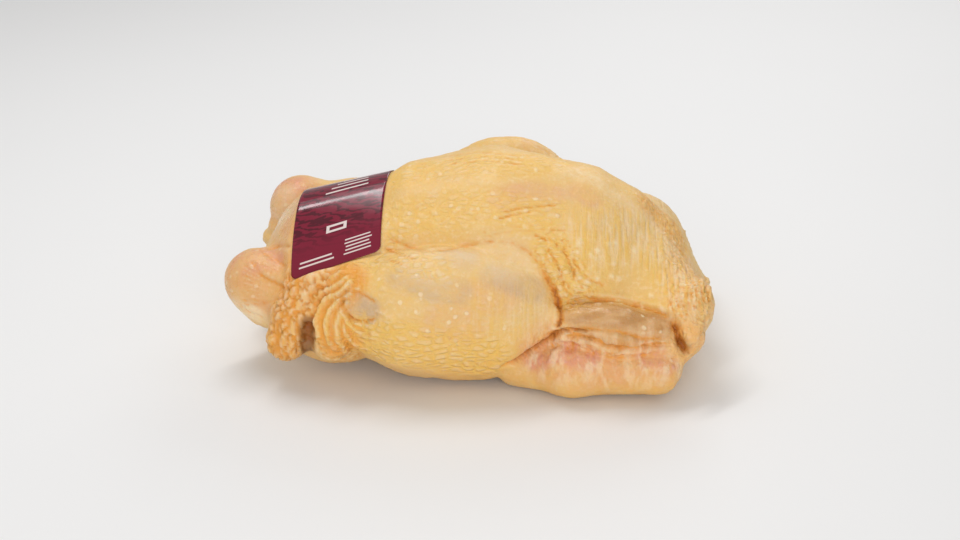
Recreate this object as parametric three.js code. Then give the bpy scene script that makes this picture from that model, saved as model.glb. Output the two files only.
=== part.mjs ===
// Whole raw chicken lying on its back, breast up, with a printed paper label across its belly.
// Millimetres, +Z up. X runs from the hocks and tail to the neck, Y away from the shown side.
// The bird is one blended form of limbs and lumps, cut flat where it rests and turned into
// one closed faceted solid. The label is a thin curved sheet in a shallow pressed seat.
import * as THREE from 'three';

// Faceting
const CELL = 6;
const SAMPLED_BOX = new THREE.Box3(new THREE.Vector3(-148, -96, -9), new THREE.Vector3(140, 96, 123));
const FLAT_SNAP = 0.4;

// Blend widths between neighbouring forms
const BLEND_TIGHT = 3;
const BLEND_FOLD = 5;
const BLEND_SKIN = 8;
const BLEND_FLESH = 12;
const BLEND_SOFT = 18;
const REST_EDGE = 4;

// Label sheet: nearly flat up the near side, bent over the crest, and nearly flat behind it
const LABEL_WIDTH = 46;
const LABEL_LENGTH = 80;
const LABEL_THICKNESS = 0.4;
const LABEL_CORNER = 3;
const LABEL_ARCS = [
  { radius: 140, length: 36 },
  { radius: 24, length: 28 },
  { radius: 90, length: 16 },
];
const LABEL_START_X = -95;
const LABEL_LOW_EDGE = { y: -56.3, z: 57.4 };
const LABEL_LOW_EDGE_RISE = { y: 4.8, z: 15.4 };
const LABEL_LOW_SLOPE = THREE.MathUtils.degToRad(54.9);
const LABEL_LOW_SLOPE_TURN = THREE.MathUtils.degToRad(8.5);
const LABEL_LEAN = -0.05;
const LABEL_LEAN_GAIN = 0.00156;

// The skin is filled up to the label by a pad, pressed flat just below it, and sloped down
// to it on the breast side and behind it
const SEAT_DEPTH = 1.0;
const SEAT_MARGIN = 5;
const SEAT_RAMP = 0.45;
const SEAT_REACH = 18;
const PAD_MIDDLE = 10;
const PAD_MARGIN = -1;
const PAD_BLEND = 9;

const stop = (x, y, z, radius) => ({ point: new THREE.Vector3(x, y, z), radius });
const lump = (x, y, z, rx, ry, rz, tiltDegrees = 0) => ({
  centre: new THREE.Vector3(x, y, z),
  radii: new THREE.Vector3(rx, ry, rz),
  tilt: THREE.MathUtils.degToRad(tiltDegrees),
});

// Trunk
const SPINE_LINE = [
  stop(-66, -11, 57, 33.5),
  stop(-34, -9, 62, 38),
  stop(6, -6, 61, 46.5),
  stop(46, -8, 56, 42.5),
  stop(80, -9, 42, 34),
];
const BACK = lump(-2, 0, 33, 102, 55, 36);
const SHOULDERS = lump(60, 0, 23, 56, 66, 25);
const BREASTS = [lump(46, -30, 53, 52, 31, 33, -24), lump(42, 14, 53, 52, 31, 33, -24)];
const BREAST_END = lump(77, 8, 42, 29, 34, 34, -38);
const FAR_SHOULDER = lump(83, 18, 49, 23, 24, 29, -30);
const NECK_END = lump(88, -4, 28, 29, 54, 28, -20);
const KEEL_LINE = [
  stop(30, -8, 94, 10),
  stop(58, -8, 85, 10),
  stop(78, -8, 77, 10),
  stop(92, -8, 64, 9),
  stop(94, -8, 45, 9),
  stop(110, -12, 30, 11),
];
const BELLY = lump(-79, -12, 51, 34, 46, 38);
const TAIL_LINE = [stop(-90, 2, 32, 22), stop(-115, 4, 30, 11)];

// Legs, shown side first
const LEGS = [
  {
    thigh: lump(-11, -57, 40, 56, 22, 37, -3),
    shank: [stop(-37, -55, 40, 25), stop(-84, -44, 45, 16)],
    hock: [stop(-84, -44, 45, 15), stop(-114, -36, 45, 17)],
  },
  {
    thigh: lump(12, 50, 57.5, 43, 25, 40.5, 14),
    shank: [stop(-26, 48, 54, 25), stop(-72, 39, 57, 16)],
    hock: [stop(-72, 39, 57, 15), stop(-101, 31, 61, 17)],
  },
];
const HOCK_KNOBS = [
  lump(-116, -35, 48.5, 17, 15, 15),
  lump(-104, -38, 37, 19, 16, 16, 10),
  lump(-103, 31, 62.5, 15, 15, 15),
  lump(-102, -10, 49, 14, 20, 12.5),
];
const HOCK_ROLLS = [lump(-106, 27, 53.5, 15, 16, 6.5), lump(-109, 25, 47, 15, 16, 6.5)];

// Loose skin hanging between legs, back and tail
const FLANK = lump(-74, -46, 26, 28, 16, 20);
const SKIN_FOLDS = [
  [stop(-82, -50, 56, 15), stop(-92, -58, 38, 12.5), stop(-98, -60, 25, 11)],
  [stop(-62, -58, 56, 13), stop(-71, -63, 38, 12), stop(-75, -62, 26, 10.5)],
  [stop(-60, 52, 52, 13), stop(-70, 54, 32, 12)],
];

// Wings, mirrored across the trunk
const SHOULDER = { x: 84, y: 44, z: 23, rx: 28, ry: 24, rz: 23 };
const WING_PIT = lump(40, 52, 24, 26, 14, 18);
const UPPER_WING = [stop(44, 60.5, 39, 12.5), stop(70, 63.5, 36, 13), stop(95, 63, 30.5, 12)];
const WING_WEB = [stop(50, 63, 27, 9), stop(84, 65, 24, 8)];
const LOWER_WING = [stop(22, 57, 13, 13), stop(50, 66, 15, 14), stop(93, 66.5, 16, 13.5)];

// Neck skin folded over both shoulders
const NECK_SKIN = [
  [stop(88, -32, 46, 21.5), stop(107, -46, 41, 16.5)],
  [stop(90, 22, 42, 22), stop(104, 40, 34, 14)],
];
const NECK_SKIN_TIPS = [
  [stop(100, -46, 42, 16), stop(105.5, -60, 31, 10), stop(103, -67, 22, 4.5)],
  [stop(100, 36, 38, 14), stop(103, 56, 24, 9.5), stop(103, 62, 18, 7)],
];

// Distance from a point to a tilted ellipsoid, negative inside
function lumpDistance(p, form) {
  const dx = p.x - form.centre.x;
  const dy = p.y - form.centre.y;
  const dz = p.z - form.centre.z;
  const x = dx * Math.cos(form.tilt) + dz * Math.sin(form.tilt);
  const z = -dx * Math.sin(form.tilt) + dz * Math.cos(form.tilt);
  const r = form.radii;
  const unit = Math.hypot(x / r.x, dy / r.y, z / r.z);
  const slope = Math.hypot(x / r.x ** 2, dy / r.y ** 2, z / r.z ** 2);
  return (unit * (unit - 1)) / Math.max(slope, 1e-9);
}

// Distance to a round limb that tapers from one stop to the next
function limbDistance(p, from, to) {
  const along = to.point.clone().sub(from.point);
  const offset = p.clone().sub(from.point);
  const t = THREE.MathUtils.clamp(offset.dot(along) / along.lengthSq(), 0, 1);
  const radius = from.radius + (to.radius - from.radius) * t;
  return offset.addScaledVector(along, -t).length() - radius;
}

// Joins two forms with a fillet of the given width
function join(a, b, width) {
  const overlap = Math.max(width - Math.abs(a - b), 0);
  return Math.min(a, b) - (overlap * overlap) / (4 * width);
}

// Keeps what lies in both forms, with a rounded edge
const keepInside = (a, b, width) => -join(-a, -b, width);

function chainDistance(p, stops, width) {
  let distance = limbDistance(p, stops[0], stops[1]);
  for (let i = 2; i < stops.length; i += 1) {
    distance = join(distance, limbDistance(p, stops[i - 1], stops[i]), width);
  }
  return distance;
}

function trunk(p) {
  let d = chainDistance(p, SPINE_LINE, 14);
  d = join(d, lumpDistance(p, BACK), 20);
  d = join(d, lumpDistance(p, SHOULDERS), 14);
  for (const breast of BREASTS) {
    d = join(d, lumpDistance(p, breast), 16);
  }
  d = join(d, lumpDistance(p, BREAST_END), BLEND_FLESH);
  d = join(d, lumpDistance(p, FAR_SHOULDER), BLEND_SKIN);
  d = join(d, lumpDistance(p, NECK_END), BLEND_SOFT);
  d = join(d, chainDistance(p, KEEL_LINE, BLEND_SKIN), 14);
  d = join(d, lumpDistance(p, BELLY), 10);
  return join(d, chainDistance(p, TAIL_LINE, BLEND_SKIN), 14);
}

function leg(p, form) {
  let d = lumpDistance(p, form.thigh);
  d = join(d, chainDistance(p, form.shank, BLEND_SKIN), 16);
  return join(d, chainDistance(p, form.hock, BLEND_SKIN), 10);
}

function addWing(p, distance, side) {
  const mirrored = new THREE.Vector3(p.x, p.y * side, p.z);
  const shoulder = lump(SHOULDER.x, SHOULDER.y, SHOULDER.z, SHOULDER.rx, SHOULDER.ry, SHOULDER.rz);
  let d = join(distance, lumpDistance(mirrored, shoulder), 10);
  d = join(d, lumpDistance(mirrored, WING_PIT), BLEND_SKIN);
  for (const limb of [WING_WEB, LOWER_WING, UPPER_WING]) {
    d = join(d, chainDistance(mirrored, limb, BLEND_SKIN), BLEND_TIGHT);
  }
  return d;
}

// The label's profile at a fraction of its width: centre, first slope and first s of each arc
function labelArcs(u) {
  const y = LABEL_LOW_EDGE.y + LABEL_LOW_EDGE_RISE.y * u;
  const z = LABEL_LOW_EDGE.z + LABEL_LOW_EDGE_RISE.z * u;
  let slope = LABEL_LOW_SLOPE - LABEL_LOW_SLOPE_TURN * u;
  let start = { y, z };
  let s = 0;
  return LABEL_ARCS.map(({ radius, length }) => {
    const centre = { y: start.y + radius * Math.sin(slope), z: start.z - radius * Math.cos(slope) };
    const arc = { centre, radius, slope, s, end: s + length };
    slope -= length / radius;
    s += length;
    start = { y: centre.y - radius * Math.sin(slope), z: centre.z + radius * Math.cos(slope) };
    return arc;
  });
}

const labelLean = (s) => (LABEL_LEAN + LABEL_LEAN_GAIN * s) * s;

// Place on the label: u across its width, s in millimetres up from its low edge
function labelPoint(u, s, height) {
  const arcs = labelArcs(u);
  const arc = arcs.find(({ end }) => s <= end) ?? arcs[arcs.length - 1];
  const slope = arc.slope - (s - arc.s) / arc.radius;
  const r = arc.radius + height;
  const x = LABEL_START_X + LABEL_WIDTH * u + labelLean(s);
  return new THREE.Vector3(x, arc.centre.y - r * Math.sin(slope), arc.centre.z + r * Math.cos(slope));
}

// Where a point lies on one arc of the label: how far up, and how high above it
function placeOnArc(p, arc) {
  const y = p.y - arc.centre.y;
  const z = p.z - arc.centre.z;
  const s = arc.s + (arc.slope - Math.atan2(-y, z)) * arc.radius;
  return { s, height: Math.hypot(y, z) - arc.radius };
}

// Where a point lies on the label: u, s and the height above it
function labelCoordinates(p) {
  let u = THREE.MathUtils.clamp((p.x - LABEL_START_X) / LABEL_WIDTH, -1, 2);
  let place = null;
  for (let round = 0; round < 2; round += 1) {
    const [face, bend, back] = labelArcs(u);
    place = placeOnArc(p, bend);
    if (place.s < bend.s) {
      place = placeOnArc(p, face);
    } else if (place.s > bend.end) {
      place = placeOnArc(p, back);
    }
    const s = THREE.MathUtils.clamp(place.s, -LABEL_LENGTH, 2 * LABEL_LENGTH);
    u = THREE.MathUtils.clamp((p.x - LABEL_START_X - labelLean(s)) / LABEL_WIDTH, -1, 2);
  }
  return { u, s: place.s, height: place.height };
}

// Fills the skin up to the label, and presses its seat flat
function seatSkin(p, distance) {
  const { u, s, height } = labelCoordinates(p);
  const beyondSides = (Math.abs(u - 0.5) - 0.5) * LABEL_WIDTH;
  const beyondEnds = Math.abs(s - LABEL_LENGTH / 2) - LABEL_LENGTH / 2;
  const outside = Math.max(beyondSides, beyondEnds);
  const pad = Math.max(Math.abs(height + PAD_MIDDLE) - PAD_MIDDLE + SEAT_DEPTH, outside - PAD_MARGIN);
  const toNeckOrBehind = Math.max((u - 1) * LABEL_WIDTH, s - LABEL_LENGTH);
  const toTailOrBelow = Math.max(-u * LABEL_WIDTH, -s);
  const ramp = SEAT_RAMP * Math.max(toNeckOrBehind - SEAT_MARGIN, 0);
  const beyondSeat = Math.max(toTailOrBelow - SEAT_MARGIN, toNeckOrBehind - SEAT_REACH);
  const aboveSeat = Math.max(ramp - height - SEAT_DEPTH, beyondSeat);
  return keepInside(join(distance, pad, PAD_BLEND), -aboveSeat, BLEND_TIGHT);
}

function birdDistance(p) {
  let d = trunk(p);
  for (const form of LEGS) {
    d = join(d, leg(p, form), 4);
  }
  for (const knob of HOCK_KNOBS) {
    d = join(d, lumpDistance(p, knob), BLEND_SKIN);
  }
  for (const roll of HOCK_ROLLS) {
    d = join(d, lumpDistance(p, roll), BLEND_TIGHT);
  }
  d = join(d, lumpDistance(p, FLANK), BLEND_SKIN);
  for (const fold of SKIN_FOLDS) {
    d = join(d, chainDistance(p, fold, BLEND_SKIN), BLEND_FOLD);
  }
  for (const side of [-1, 1]) {
    d = addWing(p, d, side);
  }
  for (const skin of NECK_SKIN) {
    d = join(d, chainDistance(p, skin, BLEND_SKIN), BLEND_FLESH);
  }
  for (const tip of NECK_SKIN_TIPS) {
    d = join(d, chainDistance(p, tip, BLEND_SKIN), BLEND_TIGHT);
  }
  d = seatSkin(p, d);
  return keepInside(d, -p.z, REST_EDGE);
}

// Samples the form on a cubic grid
function sampleGrid(form) {
  const size = SAMPLED_BOX.getSize(new THREE.Vector3());
  const counts = [size.x, size.y, size.z].map((length) => Math.ceil(length / CELL) + 1);
  const index = (i, j, k) => (i * counts[1] + j) * counts[2] + k;
  const values = new Float64Array(counts[0] * counts[1] * counts[2]);
  for (let i = 0; i < counts[0]; i += 1) {
    for (let j = 0; j < counts[1]; j += 1) {
      for (let k = 0; k < counts[2]; k += 1) {
        const point = new THREE.Vector3(i, j, k).multiplyScalar(CELL).add(SAMPLED_BOX.min);
        values[index(i, j, k)] = form(point);
      }
    }
  }
  return { counts, index, values };
}

// The twelve edges of a cell, as pairs of corner offsets
const CELL_EDGES = [];
for (let a = 0; a < 2; a += 1) {
  for (let b = 0; b < 2; b += 1) {
    CELL_EDGES.push([[0, a, b], [1, a, b]], [[a, 0, b], [a, 1, b]], [[a, b, 0], [a, b, 1]]);
  }
}

// Mean of the points where the surface crosses a cell's edges, or null where it doesn't
function cellVertex(grid, cell) {
  const sum = new THREE.Vector3();
  let crossings = 0;
  for (const [from, to] of CELL_EDGES) {
    const a = grid.values[grid.index(cell[0] + from[0], cell[1] + from[1], cell[2] + from[2])];
    const b = grid.values[grid.index(cell[0] + to[0], cell[1] + to[1], cell[2] + to[2])];
    if (a < 0 !== b < 0) {
      const start = new THREE.Vector3(...from);
      sum.add(start.lerp(new THREE.Vector3(...to), a / (a - b)));
      crossings += 1;
    }
  }
  if (crossings === 0) {
    return null;
  }
  const vertex = sum.divideScalar(crossings).add(new THREE.Vector3(...cell));
  vertex.multiplyScalar(CELL).add(SAMPLED_BOX.min);
  vertex.z = vertex.z < FLAT_SNAP ? 0 : vertex.z;
  return vertex;
}

// One closed mesh round the form, with a vertex in each crossed cell
function facetedSolid(form) {
  const grid = sampleGrid(form);
  const positions = [];
  const vertexOf = new Map();
  for (let i = 0; i < grid.counts[0] - 1; i += 1) {
    for (let j = 0; j < grid.counts[1] - 1; j += 1) {
      for (let k = 0; k < grid.counts[2] - 1; k += 1) {
        const vertex = cellVertex(grid, [i, j, k]);
        if (vertex) {
          vertexOf.set(grid.index(i, j, k), positions.length / 3);
          positions.push(vertex.x, vertex.y, vertex.z);
        }
      }
    }
  }
  const triangles = [];
  for (let axis = 0; axis < 3; axis += 1) {
    addFacesAcross(grid, axis, vertexOf, positions, triangles);
  }
  return meshGeometry(positions, triangles);
}

// Faces for every grid edge along one axis that the surface crosses
function addFacesAcross(grid, axis, vertexOf, positions, triangles) {
  const side = (axis + 1) % 3;
  const other = (axis + 2) % 3;
  const node = [0, 0, 0];
  for (node[0] = 1; node[0] < grid.counts[0] - 1; node[0] += 1) {
    for (node[1] = 1; node[1] < grid.counts[1] - 1; node[1] += 1) {
      for (node[2] = 1; node[2] < grid.counts[2] - 1; node[2] += 1) {
        const next = node.slice();
        next[axis] += 1;
        const inside = grid.values[grid.index(...node)] < 0;
        if (inside === grid.values[grid.index(...next)] < 0) {
          continue;
        }
        const ring = [[-1, -1], [0, -1], [0, 0], [-1, 0]].map(([a, b]) => {
          const cell = node.slice();
          cell[side] += a;
          cell[other] += b;
          return vertexOf.get(grid.index(...cell));
        });
        addQuad(inside ? ring : ring.reverse(), positions, triangles);
      }
    }
  }
}

// Splits a quad along its shorter diagonal
function addQuad([a, b, c, d], positions, triangles) {
  const point = (i) => new THREE.Vector3().fromArray(positions, 3 * i);
  if (point(a).distanceTo(point(c)) <= point(b).distanceTo(point(d))) {
    triangles.push(a, b, c, a, c, d);
  } else {
    triangles.push(a, b, d, b, c, d);
  }
}

function meshGeometry(positions, triangles) {
  const geometry = new THREE.BufferGeometry();
  geometry.setAttribute('position', new THREE.Float32BufferAttribute(positions, 3));
  geometry.setIndex(triangles);
  geometry.computeVertexNormals();
  return geometry;
}

// Rows of the label, closer together at its rounded corners
function labelRows() {
  const rows = [];
  const cornerSteps = 3;
  const middleSteps = 18;
  for (let i = 0; i < cornerSteps; i += 1) {
    rows.push(LABEL_CORNER * (1 - Math.cos((i / cornerSteps) * (Math.PI / 2))));
  }
  const straight = LABEL_LENGTH - 2 * LABEL_CORNER;
  for (let i = 0; i <= middleSteps; i += 1) {
    rows.push(LABEL_CORNER + (straight * i) / middleSteps);
  }
  for (let i = cornerSteps - 1; i >= 0; i -= 1) {
    rows.push(LABEL_LENGTH - rows[i]);
  }
  return rows;
}

// How far the label's side is drawn in at a row, for the rounded corner
function cornerInset(s) {
  const toEnd = Math.min(s, LABEL_LENGTH - s);
  if (toEnd >= LABEL_CORNER) {
    return 0;
  }
  return LABEL_CORNER - Math.sqrt(LABEL_CORNER ** 2 - (LABEL_CORNER - toEnd) ** 2);
}

// Thin closed sheet with rounded corners
function labelSheet() {
  const columns = 8;
  const rows = labelRows();
  const positions = [];
  const layer = rows.length * (columns + 1);
  for (const height of [0, LABEL_THICKNESS]) {
    for (const s of rows) {
      const inset = cornerInset(s) / LABEL_WIDTH;
      for (let i = 0; i <= columns; i += 1) {
        const u = inset + (1 - 2 * inset) * (i / columns);
        positions.push(...labelPoint(u, s, height).toArray());
      }
    }
  }
  const at = (row, column, upper) => upper * layer + row * (columns + 1) + column;
  const triangles = [];
  for (let row = 0; row < rows.length - 1; row += 1) {
    for (let i = 0; i < columns; i += 1) {
      const lower = [at(row, i, 0), at(row + 1, i, 0), at(row + 1, i + 1, 0), at(row, i + 1, 0)];
      const upper = lower.map((vertex) => vertex + layer).reverse();
      addQuad(lower, positions, triangles);
      addQuad(upper, positions, triangles);
    }
    addQuad([at(row, 0, 0), at(row, 0, 1), at(row + 1, 0, 1), at(row + 1, 0, 0)], positions, triangles);
    const last = [at(row, columns, 0), at(row + 1, columns, 0), at(row + 1, columns, 1), at(row, columns, 1)];
    addQuad(last, positions, triangles);
  }
  const end = rows.length - 1;
  for (let i = 0; i < columns; i += 1) {
    addQuad([at(0, i, 0), at(0, i + 1, 0), at(0, i + 1, 1), at(0, i, 1)], positions, triangles);
    addQuad([at(end, i, 0), at(end, i, 1), at(end, i + 1, 1), at(end, i + 1, 0)], positions, triangles);
  }
  return meshGeometry(positions, triangles);
}

function namedMesh(name, geometry, colour, roughness) {
  const material = new THREE.MeshStandardMaterial({ color: colour, roughness, metalness: 0 });
  const mesh = new THREE.Mesh(geometry, material);
  mesh.name = name;
  return mesh;
}

const bird = facetedSolid(birdDistance);
const label = labelSheet();

// The origin is the middle of the bird's box, at the height of the face it rests on
bird.computeBoundingBox();
const middle = bird.boundingBox.getCenter(new THREE.Vector3());

const chickenGroup = new THREE.Group();
chickenGroup.add(namedMesh('chicken', bird, 0xe0bb80, 0.45));
chickenGroup.add(namedMesh('label', label, 0x8a1f33, 0.3));
chickenGroup.position.set(-middle.x, -middle.y, 0);

const part = new THREE.Group();
part.add(chickenGroup);
part.updateMatrixWorld(true);

export default part;
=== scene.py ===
"""Looks of a whole raw chicken with a printed label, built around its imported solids.

The skin is the solids' own form, sampled finely, then folded, wrinkled and pimpled by moving
its vertices. Places read off the photograph are pixels of its 960 x 540 frame; they are cast
onto the skin from the camera, so every fold lies on the bird and is seen from any side.
"""

import math

import bpy
import numpy as np
from mathutils import Matrix, Vector
from mathutils.bvhtree import BVHTree


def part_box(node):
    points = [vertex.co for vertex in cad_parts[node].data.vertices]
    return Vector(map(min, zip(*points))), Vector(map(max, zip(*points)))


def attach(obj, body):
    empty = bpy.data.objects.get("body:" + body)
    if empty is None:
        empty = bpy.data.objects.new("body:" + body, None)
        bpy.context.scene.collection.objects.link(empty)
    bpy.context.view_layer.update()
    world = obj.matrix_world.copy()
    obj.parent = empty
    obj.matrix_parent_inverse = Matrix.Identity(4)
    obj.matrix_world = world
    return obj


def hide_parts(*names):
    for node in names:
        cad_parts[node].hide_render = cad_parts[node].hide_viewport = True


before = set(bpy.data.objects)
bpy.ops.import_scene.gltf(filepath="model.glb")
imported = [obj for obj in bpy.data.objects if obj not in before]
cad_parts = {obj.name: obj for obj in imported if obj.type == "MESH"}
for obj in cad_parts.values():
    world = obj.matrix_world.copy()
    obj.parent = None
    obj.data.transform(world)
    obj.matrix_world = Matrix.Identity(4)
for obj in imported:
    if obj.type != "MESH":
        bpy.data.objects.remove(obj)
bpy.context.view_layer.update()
scene = bpy.context.scene

MM = 0.001

# Camera: picture frame, lens and aim, in the bird's own millimetres
PHOTO_WIDTH = 960
PHOTO_HEIGHT = 540
FOCAL_PIXELS = 1500.0
CAMERA_PITCH = math.radians(25.0)
CAMERA_TURN = math.radians(2.3)
CAMERA_DISTANCE = 830.0
AIM_POINT = np.array([0.0, 0.0, 27.0])
AIM_PIXEL = (480.6, 289.3)
SENSOR_WIDTH = 36.0

# Skin mesh: fine steps within coarse ones, and folds that fade out near the resting face
STEP = 1.3
COARSE = 4
EXACT_REACH = 2.2
SAMPLE_LOW = (-146.0, -92.0, -8.0)
SAMPLE_HIGH = (134.0, 92.0, 120.0)
FLAT_SNAP = 0.1
REST_FADE = 6

# Blend widths between neighbouring forms
BLEND_CREASE = 1.2
BLEND_TIGHT = 2.5
BLEND_FOLD = 5
BLEND_SKIN = 8
BLEND_FLESH = 12
BLEND_SOFT = 18
REST_EDGE = 4

# Label sheet: nearly flat up the near side, bent over the crest, and nearly flat behind it
LABEL_WIDTH = 46.0
LABEL_LENGTH = 80.0
LABEL_THICKNESS = 0.4
LABEL_CORNER = 3.0
LABEL_FACE_RADIUS = 140.0
LABEL_FACE_LENGTH = 36.0
LABEL_BEND_RADIUS = 24.0
LABEL_BEND_LENGTH = 28.0
LABEL_BACK_RADIUS = 90.0
LABEL_START_X = -95.0
LABEL_LOW_EDGE = (-56.3, 57.4)
LABEL_LOW_EDGE_RISE = (4.8, 15.4)
LABEL_LOW_SLOPE = math.radians(54.9)
LABEL_LOW_SLOPE_TURN = math.radians(8.5)
LABEL_LEAN = -0.05
LABEL_LEAN_GAIN = 0.00156
SEAT_DEPTH = 0.35
SEAT_MARGIN = 0.8
SEAT_RAMP = 0.45
SEAT_REACH = 18.0
PAD_MIDDLE = 10.0
PAD_MARGIN = -1.0
PAD_BLEND = 9.0

# Trunk, as stops (place, radius) and lumps (place, radii, tilt in degrees)
SPINE_LINE = [
    ((-66, -11, 57), 33.5), ((-34, -9, 62), 38), ((6, -6, 61), 46.5),
    ((46, -8, 56), 42.5), ((80, -9, 42), 34),
]
BACK = ((-2, 0, 33), (102, 55, 36), 0)
SHOULDERS = ((60, 0, 23), (56, 66, 25), 0)
BREASTS = [((46, -30, 53), (52, 31, 33), -24), ((42, 14, 53), (52, 31, 33), -24)]
BREAST_END = ((77, 8, 42), (29, 34, 34), -38)
FAR_SHOULDER = ((83, 18, 49), (23, 24, 29), -30)
NECK_END = ((88, -4, 28), (29, 54, 28), -20)
KEEL_LINE = [
    ((30, -8, 94), 10), ((58, -8, 85), 10), ((78, -8, 77), 10),
    ((92, -8, 64), 9), ((94, -8, 45), 9), ((110, -12, 30), 11),
]
BELLY = ((-79, -12, 51), (34, 46, 38), 0)
TAIL_LINE = [((-90, 2, 32), 22), ((-115, 4, 30), 11)]

# Legs, shown side first
LEGS = [
    {
        "thigh": ((-11, -57, 40), (56, 22, 37), -3),
        "shank": [((-37, -55, 40), 25), ((-84, -44, 45), 16)],
        "hock": [((-84, -44, 45), 15), ((-114, -36, 45), 17)],
    },
    {
        "thigh": ((12, 50, 57.5), (43, 25, 40.5), 14),
        "shank": [((-26, 48, 54), 25), ((-72, 39, 57), 16)],
        "hock": [((-72, 39, 57), 15), ((-101, 31, 61), 17)],
    },
]
HOCK_KNOBS = [
    ((-116, -35, 48.5), (17, 15, 15), 0),
    ((-104, -38, 37), (19, 16, 16), 10),
    ((-103, 31, 62.5), (15, 15, 15), 0),
    ((-102, -10, 49), (14, 20, 12.5), 0),
]
HOCK_ROLLS = [
    ((-106, 27, 53.5), (15, 16, 6.5), 0),
    ((-109, 25, 47), (15, 16, 6.5), 0),
]

# Loose skin hanging between legs, back and tail
FLANK = ((-74, -46, 26), (28, 16, 20), 0)
SKIN_FOLDS = [
    [((-82, -50, 56), 15), ((-92, -58, 38), 12.5), ((-98, -60, 25), 11)],
    [((-62, -58, 56), 13), ((-71, -63, 38), 12), ((-75, -62, 26), 10.5)],
    [((-60, 52, 52), 13), ((-70, 54, 32), 12)],
]

# Wings, mirrored across the trunk
SHOULDER = ((84, 44, 23), (28, 24, 23), 0)
WING_PIT = ((40, 52, 24), (26, 14, 18), 0)
UPPER_WING = [((44, 60.5, 39), 12.5), ((70, 63.5, 36), 13), ((95, 63, 30.5), 12)]
WING_WEB = [((50, 63, 27), 9), ((84, 65, 24), 8)]
LOWER_WING = [((22, 57, 13), 13), ((50, 66, 15), 14), ((93, 66.5, 16), 13.5)]

# Neck skin folded over both shoulders
NECK_SKIN = [
    [((88, -32, 46), 21.5), ((107, -46, 41), 16.5)],
    [((90, 22, 42), 22), ((104, 40, 34), 14)],
]
NECK_SKIN_TIPS = [
    [((100, -46, 42), 16), ((105.5, -60, 31), 10), ((103, -67, 22), 4.5)],
    [((100, 36, 38), 14), ((103, 56, 24), 9.5), ((103, 62, 18), 7)],
]


# Distances, negative inside, for rows of points in millimetres

def lump_distance(points, form):
    centre, radii, tilt = form
    offset = points - centre
    angle = math.radians(tilt)
    x = offset[:, 0] * math.cos(angle) + offset[:, 2] * math.sin(angle)
    z = offset[:, 2] * math.cos(angle) - offset[:, 0] * math.sin(angle)
    local = np.stack([x, offset[:, 1], z], axis=1) / radii
    unit = np.linalg.norm(local, axis=1)
    slope = np.linalg.norm(local / radii, axis=1)
    return unit * (unit - 1) / np.maximum(slope, 1e-9)


def limb_distance(points, start, end):
    a = np.array(start[0], float)
    along = np.array(end[0], float) - a
    t = np.clip((points - a) @ along / (along @ along), 0, 1)
    reach = np.linalg.norm(points - a - t[:, None] * along, axis=1)
    return reach - (start[1] + (end[1] - start[1]) * t)


def join(a, b, width):
    overlap = np.maximum(width - np.abs(a - b), 0)
    return np.minimum(a, b) - overlap * overlap / (4 * width)


def keep_inside(a, b, width):
    return -join(-a, -b, width)


def chain_distance(points, stops, width):
    distance = limb_distance(points, stops[0], stops[1])
    for start, end in zip(stops[1:-1], stops[2:]):
        distance = join(distance, limb_distance(points, start, end), width)
    return distance


def add_lump(d, points, lump, width):
    return join(d, lump_distance(points, lump), width)


def add_chain(d, points, stops, width):
    return join(d, chain_distance(points, stops, BLEND_SKIN), width)


def trunk(points):
    d = chain_distance(points, SPINE_LINE, 14)
    for lump, width in (
        (BACK, 20), (SHOULDERS, 14), (BREASTS[0], 16), (BREASTS[1], 16),
        (BREAST_END, BLEND_FLESH), (FAR_SHOULDER, BLEND_SKIN), (NECK_END, BLEND_SOFT),
    ):
        d = add_lump(d, points, lump, width)
    d = add_chain(d, points, KEEL_LINE, 14)
    d = add_lump(d, points, BELLY, 10)
    return add_chain(d, points, TAIL_LINE, 14)


def leg(points, form):
    d = add_chain(lump_distance(points, form["thigh"]), points, form["shank"], 16)
    return add_chain(d, points, form["hock"], 10)


def add_wing(points, distance, side):
    mirrored = points * (1, side, 1)
    d = add_lump(distance, mirrored, SHOULDER, 10)
    d = add_lump(d, mirrored, WING_PIT, BLEND_SKIN)
    for limb in (WING_WEB, LOWER_WING, UPPER_WING):
        d = add_chain(d, mirrored, limb, BLEND_CREASE)
    return d


def label_arcs(u):
    """Each arc of the label's profile: centre y and z, radius, first slope and first s."""
    y = LABEL_LOW_EDGE[0] + LABEL_LOW_EDGE_RISE[0] * u
    z = LABEL_LOW_EDGE[1] + LABEL_LOW_EDGE_RISE[1] * u
    slope = LABEL_LOW_SLOPE - LABEL_LOW_SLOPE_TURN * u
    arcs = []
    s = 0.0
    y = y + LABEL_FACE_RADIUS * np.sin(slope)
    z = z - LABEL_FACE_RADIUS * np.cos(slope)
    for radius, length, following in (
        (LABEL_FACE_RADIUS, LABEL_FACE_LENGTH, LABEL_BEND_RADIUS),
        (LABEL_BEND_RADIUS, LABEL_BEND_LENGTH, LABEL_BACK_RADIUS),
        (LABEL_BACK_RADIUS, 0.0, LABEL_BACK_RADIUS),
    ):
        arcs.append((y, z, radius, slope, s))
        slope = slope - length / radius
        s = s + length
        y = y - (radius - following) * np.sin(slope)
        z = z + (radius - following) * np.cos(slope)
    return arcs


def label_lean(s):
    return (LABEL_LEAN + LABEL_LEAN_GAIN * s) * s


def label_point(u, s, height):
    """Place on the label: u across its width, s in millimetres up from its low edge."""
    face, bend, back = label_arcs(u)
    arc = face if s < bend[4] else bend if s < back[4] else back
    centre_y, centre_z, radius, first_slope, first_s = arc
    slope = first_slope - (s - first_s) / radius
    r = radius + height
    x = LABEL_START_X + LABEL_WIDTH * u + label_lean(s)
    return x, centre_y - r * math.sin(slope), centre_z + r * math.cos(slope)


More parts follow.
